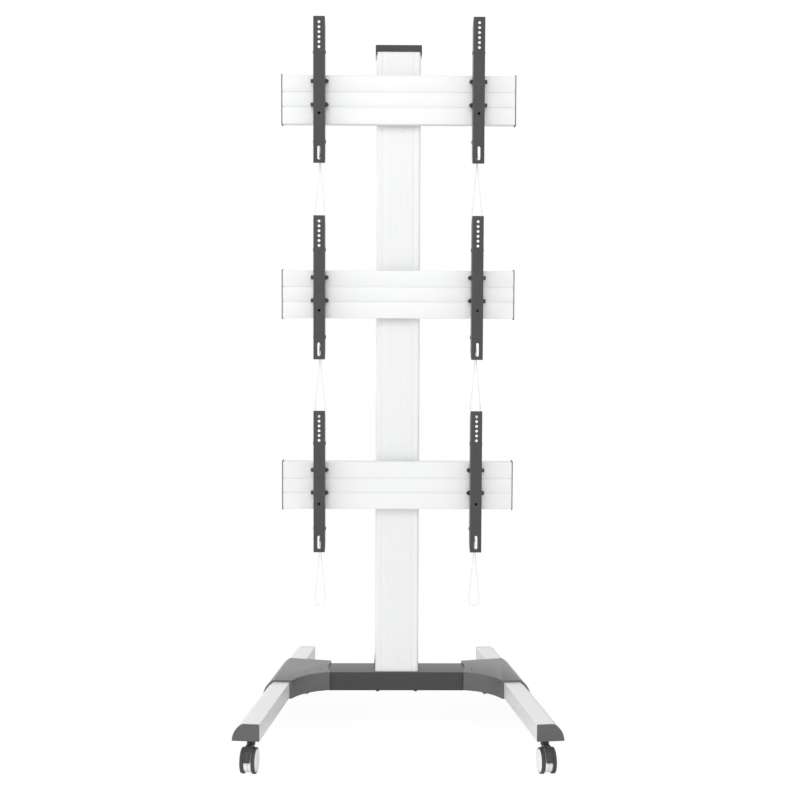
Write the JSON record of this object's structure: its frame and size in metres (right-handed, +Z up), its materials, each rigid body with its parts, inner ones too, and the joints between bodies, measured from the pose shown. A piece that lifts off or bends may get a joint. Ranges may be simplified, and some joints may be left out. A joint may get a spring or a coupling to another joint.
{
  "type": "video wall floor stand",
  "caption": "Wheeled floor stand for a tall stack of flat displays: splayed legs, an extruded column, horizontal rails, and tilting quick-release arms with pull cords.",
  "frame": {"origin": "the centre of the footprint on the floor, with the pull cords left out", "axes": "+Z up, +X to the right seen from the front, +Y to the rear; the displays face -Y"},
  "size_m": [0.9494, 0.9453, 2.2167],
  "materials": {
    "leg_silver": "satin anodised",
    "column_silver": "satin anodised",
    "rail_silver": "satin anodised",
    "leg_cap_grey": "fine moulded texture",
    "column_cap_grey": "fine moulded texture",
    "bracket_grey": "fine powder coat",
    "beam_grey": "fine powder coat",
    "arm_grey": "fine powder coat",
    "latch_zinc": "dark zinc plate",
    "cord_white": "braided",
    "caster_grey": "moulded nylon",
    "wheel_grey": "moulded, with a dark tread",
    "stem_black": "blackened"
  },
  "bodies": {
    "base_frame": {"cross_beam": "beam_grey", "corner_bracket_left": "bracket_grey", "corner_bracket_right": "bracket_grey", "leg_left": "leg_silver", "leg_right": "leg_silver", "column": "column_silver", "column_cap": "column_cap_grey", "column_foot_bracket": "beam_grey", "rail_top": "rail_silver", "rail_middle": "rail_silver", "rail_bottom": "rail_silver", "leg_cap_front_left": "leg_cap_grey", "leg_cap_front_right": "leg_cap_grey", "leg_cap_rear_left": "leg_cap_grey", "leg_cap_rear_right": "leg_cap_grey", "caster_stem_front_left": "stem_black", "caster_stem_front_right": "stem_black", "caster_stem_rear_left": "stem_black", "caster_stem_rear_right": "stem_black"},
    "caster_front_left": {"caster_body_front_left": "caster_grey"},
    "wheel_front_left_a": {"caster_wheel_front_left_a": "wheel_grey"},
    "wheel_front_left_b": {"caster_wheel_front_left_b": "wheel_grey"},
    "pedal_front_left": {"brake_pedal_front_left": "caster_grey"},
    "caster_front_right": {"caster_body_front_right": "caster_grey"},
    "wheel_front_right_a": {"caster_wheel_front_right_a": "wheel_grey"},
    "wheel_front_right_b": {"caster_wheel_front_right_b": "wheel_grey"},
    "pedal_front_right": {"brake_pedal_front_right": "caster_grey"},
    "caster_rear_left": {"caster_body_rear_left": "caster_grey"},
    "wheel_rear_left_a": {"caster_wheel_rear_left_a": "wheel_grey"},
    "wheel_rear_left_b": {"caster_wheel_rear_left_b": "wheel_grey"},
    "pedal_rear_left": {"brake_pedal_rear_left": "caster_grey"},
    "caster_rear_right": {"caster_body_rear_right": "caster_grey"},
    "wheel_rear_right_a": {"caster_wheel_rear_right_a": "wheel_grey"},
    "wheel_rear_right_b": {"caster_wheel_rear_right_b": "wheel_grey"},
    "pedal_rear_right": {"brake_pedal_rear_right": "caster_grey"},
    "carrier_top_left": {"carrier_top_left": "arm_grey"},
    "arm_top_left": {"arm_top_left": "arm_grey"},
    "latch_top_left": {"latch_top_left": "latch_zinc", "pull_cord_top_left": "cord_white"},
    "carrier_top_right": {"carrier_top_right": "arm_grey"},
    "arm_top_right": {"arm_top_right": "arm_grey"},
    "latch_top_right": {"latch_top_right": "latch_zinc", "pull_cord_top_right": "cord_white"},
    "carrier_middle_left": {"carrier_middle_left": "arm_grey"},
    "arm_middle_left": {"arm_middle_left": "arm_grey"},
    "latch_middle_left": {"latch_middle_left": "latch_zinc", "pull_cord_middle_left": "cord_white"},
    "carrier_middle_right": {"carrier_middle_right": "arm_grey"},
    "arm_middle_right": {"arm_middle_right": "arm_grey"},
    "latch_middle_right": {"latch_middle_right": "latch_zinc", "pull_cord_middle_right": "cord_white"},
    "carrier_bottom_left": {"carrier_bottom_left": "arm_grey"},
    "arm_bottom_left": {"arm_bottom_left": "arm_grey"},
    "latch_bottom_left": {"latch_bottom_left": "latch_zinc", "pull_cord_bottom_left": "cord_white"},
    "carrier_bottom_right": {"carrier_bottom_right": "arm_grey"},
    "arm_bottom_right": {"arm_bottom_right": "arm_grey"},
    "latch_bottom_right": {"latch_bottom_right": "latch_zinc", "pull_cord_bottom_right": "cord_white"}
  },
  "joints": [
    {"name": "swivel_front_left", "type": "hinge", "parent": "base_frame", "child": "caster_front_left", "pos_m": [-0.42258, -0.40428, 0.08], "axis": [0, 0, 1], "continuous": true},
    {"name": "roll_front_left_a", "type": "hinge", "parent": "caster_front_left", "child": "wheel_front_left_a", "pos_m": [-0.42559, -0.42809, 0.0375], "axis": [0.9921, -0.1253, 0], "continuous": true},
    {"name": "roll_front_left_b", "type": "hinge", "parent": "caster_front_left", "child": "wheel_front_left_b", "pos_m": [-0.42559, -0.42809, 0.0375], "axis": [0.9921, -0.1253, 0], "continuous": true},
    {"name": "brake_front_left", "type": "hinge", "parent": "caster_front_left", "child": "pedal_front_left", "pos_m": [-0.42911, -0.45594, 0.0676], "axis": [0.9921, -0.1253, 0], "range_deg": [0, 7]},
    {"name": "swivel_front_right", "type": "hinge", "parent": "base_frame", "child": "caster_front_right", "pos_m": [0.42258, -0.40428, 0.08], "axis": [0, 0, 1], "continuous": true},
    {"name": "roll_front_right_a", "type": "hinge", "parent": "caster_front_right", "child": "wheel_front_right_a", "pos_m": [0.42559, -0.42809, 0.0375], "axis": [0.9921, 0.1253, 0], "continuous": true},
    {"name": "roll_front_right_b", "type": "hinge", "parent": "caster_front_right", "child": "wheel_front_right_b", "pos_m": [0.42559, -0.42809, 0.0375], "axis": [0.9921, 0.1253, 0], "continuous": true},
    {"name": "brake_front_right", "type": "hinge", "parent": "caster_front_right", "child": "pedal_front_right", "pos_m": [0.42911, -0.45594, 0.0676], "axis": [0.9921, 0.1253, 0], "range_deg": [0, 7]},
    {"name": "swivel_rear_left", "type": "hinge", "parent": "base_frame", "child": "caster_rear_left", "pos_m": [-0.3178, 0.42512, 0.08], "axis": [0, 0, 1], "continuous": true},
    {"name": "roll_rear_left_a", "type": "hinge", "parent": "caster_rear_left", "child": "wheel_rear_left_a", "pos_m": [-0.32081, 0.40131, 0.0375], "axis": [0.9921, -0.1253, 0], "continuous": true},
    {"name": "roll_rear_left_b", "type": "hinge", "parent": "caster_rear_left", "child": "wheel_rear_left_b", "pos_m": [-0.32081, 0.40131, 0.0375], "axis": [0.9921, -0.1253, 0], "continuous": true},
    {"name": "brake_rear_left", "type": "hinge", "parent": "caster_rear_left", "child": "pedal_rear_left", "pos_m": [-0.32433, 0.37347, 0.0676], "axis": [0.9921, -0.1253, 0], "range_deg": [0, 7]},
    {"name": "swivel_rear_right", "type": "hinge", "parent": "base_frame", "child": "caster_rear_right", "pos_m": [0.3178, 0.42512, 0.08], "axis": [0, 0, 1], "continuous": true},
    {"name": "roll_rear_right_a", "type": "hinge", "parent": "caster_rear_right", "child": "wheel_rear_right_a", "pos_m": [0.32081, 0.40131, 0.0375], "axis": [0.9921, 0.1253, 0], "continuous": true},
    {"name": "roll_rear_right_b", "type": "hinge", "parent": "caster_rear_right", "child": "wheel_rear_right_b", "pos_m": [0.32081, 0.40131, 0.0375], "axis": [0.9921, 0.1253, 0], "continuous": true},
    {"name": "brake_rear_right", "type": "hinge", "parent": "caster_rear_right", "child": "pedal_rear_right", "pos_m": [0.32433, 0.37347, 0.0676], "axis": [0.9921, 0.1253, 0], "range_deg": [0, 7]},
    {"name": "carrier_slide_top_left", "type": "slide", "parent": "base_frame", "child": "carrier_top_left", "axis": [1, 0, 0], "range_m": [-0.092, 0.1445]},
    {"name": "arm_tilt_top_left", "type": "hinge", "parent": "carrier_top_left", "child": "arm_top_left", "pos_m": [-0.2457, 0.0445, 2.0264], "axis": [1, 0, 0], "range_deg": [-2, 2]},
    {"name": "latch_pull_top_left", "type": "slide", "parent": "carrier_top_left", "child": "latch_top_left", "axis": [0, 0, -1], "range_m": [0, 0.012], "stiffness_N_per_m": 300, "springref_m": -0.008},
    {"name": "carrier_slide_top_right", "type": "slide", "parent": "base_frame", "child": "carrier_top_right", "axis": [1, 0, 0], "range_m": [-0.1445, 0.092]},
    {"name": "arm_tilt_top_right", "type": "hinge", "parent": "carrier_top_right", "child": "arm_top_right", "pos_m": [0.2457, 0.0445, 2.0264], "axis": [1, 0, 0], "range_deg": [-2, 2]},
    {"name": "latch_pull_top_right", "type": "slide", "parent": "carrier_top_right", "child": "latch_top_right", "axis": [0, 0, -1], "range_m": [0, 0.012], "stiffness_N_per_m": 300, "springref_m": -0.008},
    {"name": "carrier_slide_middle_left", "type": "slide", "parent": "base_frame", "child": "carrier_middle_left", "axis": [1, 0, 0], "range_m": [-0.092, 0.1445]},
    {"name": "arm_tilt_middle_left", "type": "hinge", "parent": "carrier_middle_left", "child": "arm_middle_left", "pos_m": [-0.2457, 0.0445, 1.4214], "axis": [1, 0, 0], "range_deg": [-2, 2]},
    {"name": "latch_pull_middle_left", "type": "slide", "parent": "carrier_middle_left", "child": "latch_middle_left", "axis": [0, 0, -1], "range_m": [0, 0.012], "stiffness_N_per_m": 300, "springref_m": -0.008},
    {"name": "carrier_slide_middle_right", "type": "slide", "parent": "base_frame", "child": "carrier_middle_right", "axis": [1, 0, 0], "range_m": [-0.1445, 0.092]},
    {"name": "arm_tilt_middle_right", "type": "hinge", "parent": "carrier_middle_right", "child": "arm_middle_right", "pos_m": [0.2457, 0.0445, 1.4214], "axis": [1, 0, 0], "range_deg": [-2, 2]},
    {"name": "latch_pull_middle_right", "type": "slide", "parent": "carrier_middle_right", "child": "latch_middle_right", "axis": [0, 0, -1], "range_m": [0, 0.012], "stiffness_N_per_m": 300, "springref_m": -0.008},
    {"name": "carrier_slide_bottom_left", "type": "slide", "parent": "base_frame", "child": "carrier_bottom_left", "axis": [1, 0, 0], "range_m": [-0.092, 0.1445]},
    {"name": "arm_tilt_bottom_left", "type": "hinge", "parent": "carrier_bottom_left", "child": "arm_bottom_left", "pos_m": [-0.2457, 0.0445, 0.8164], "axis": [1, 0, 0], "range_deg": [-2, 2]},
    {"name": "latch_pull_bottom_left", "type": "slide", "parent": "carrier_bottom_left", "child": "latch_bottom_left", "axis": [0, 0, -1], "range_m": [0, 0.012], "stiffness_N_per_m": 300, "springref_m": -0.008},
    {"name": "carrier_slide_bottom_right", "type": "slide", "parent": "base_frame", "child": "carrier_bottom_right", "axis": [1, 0, 0], "range_m": [-0.1445, 0.092]},
    {"name": "arm_tilt_bottom_right", "type": "hinge", "parent": "carrier_bottom_right", "child": "arm_bottom_right", "pos_m": [0.2457, 0.0445, 0.8164], "axis": [1, 0, 0], "range_deg": [-2, 2]},
    {"name": "latch_pull_bottom_right", "type": "slide", "parent": "carrier_bottom_right", "child": "latch_bottom_right", "axis": [0, 0, -1], "range_m": [0, 0.012], "stiffness_N_per_m": 300, "springref_m": -0.008}
  ]
}
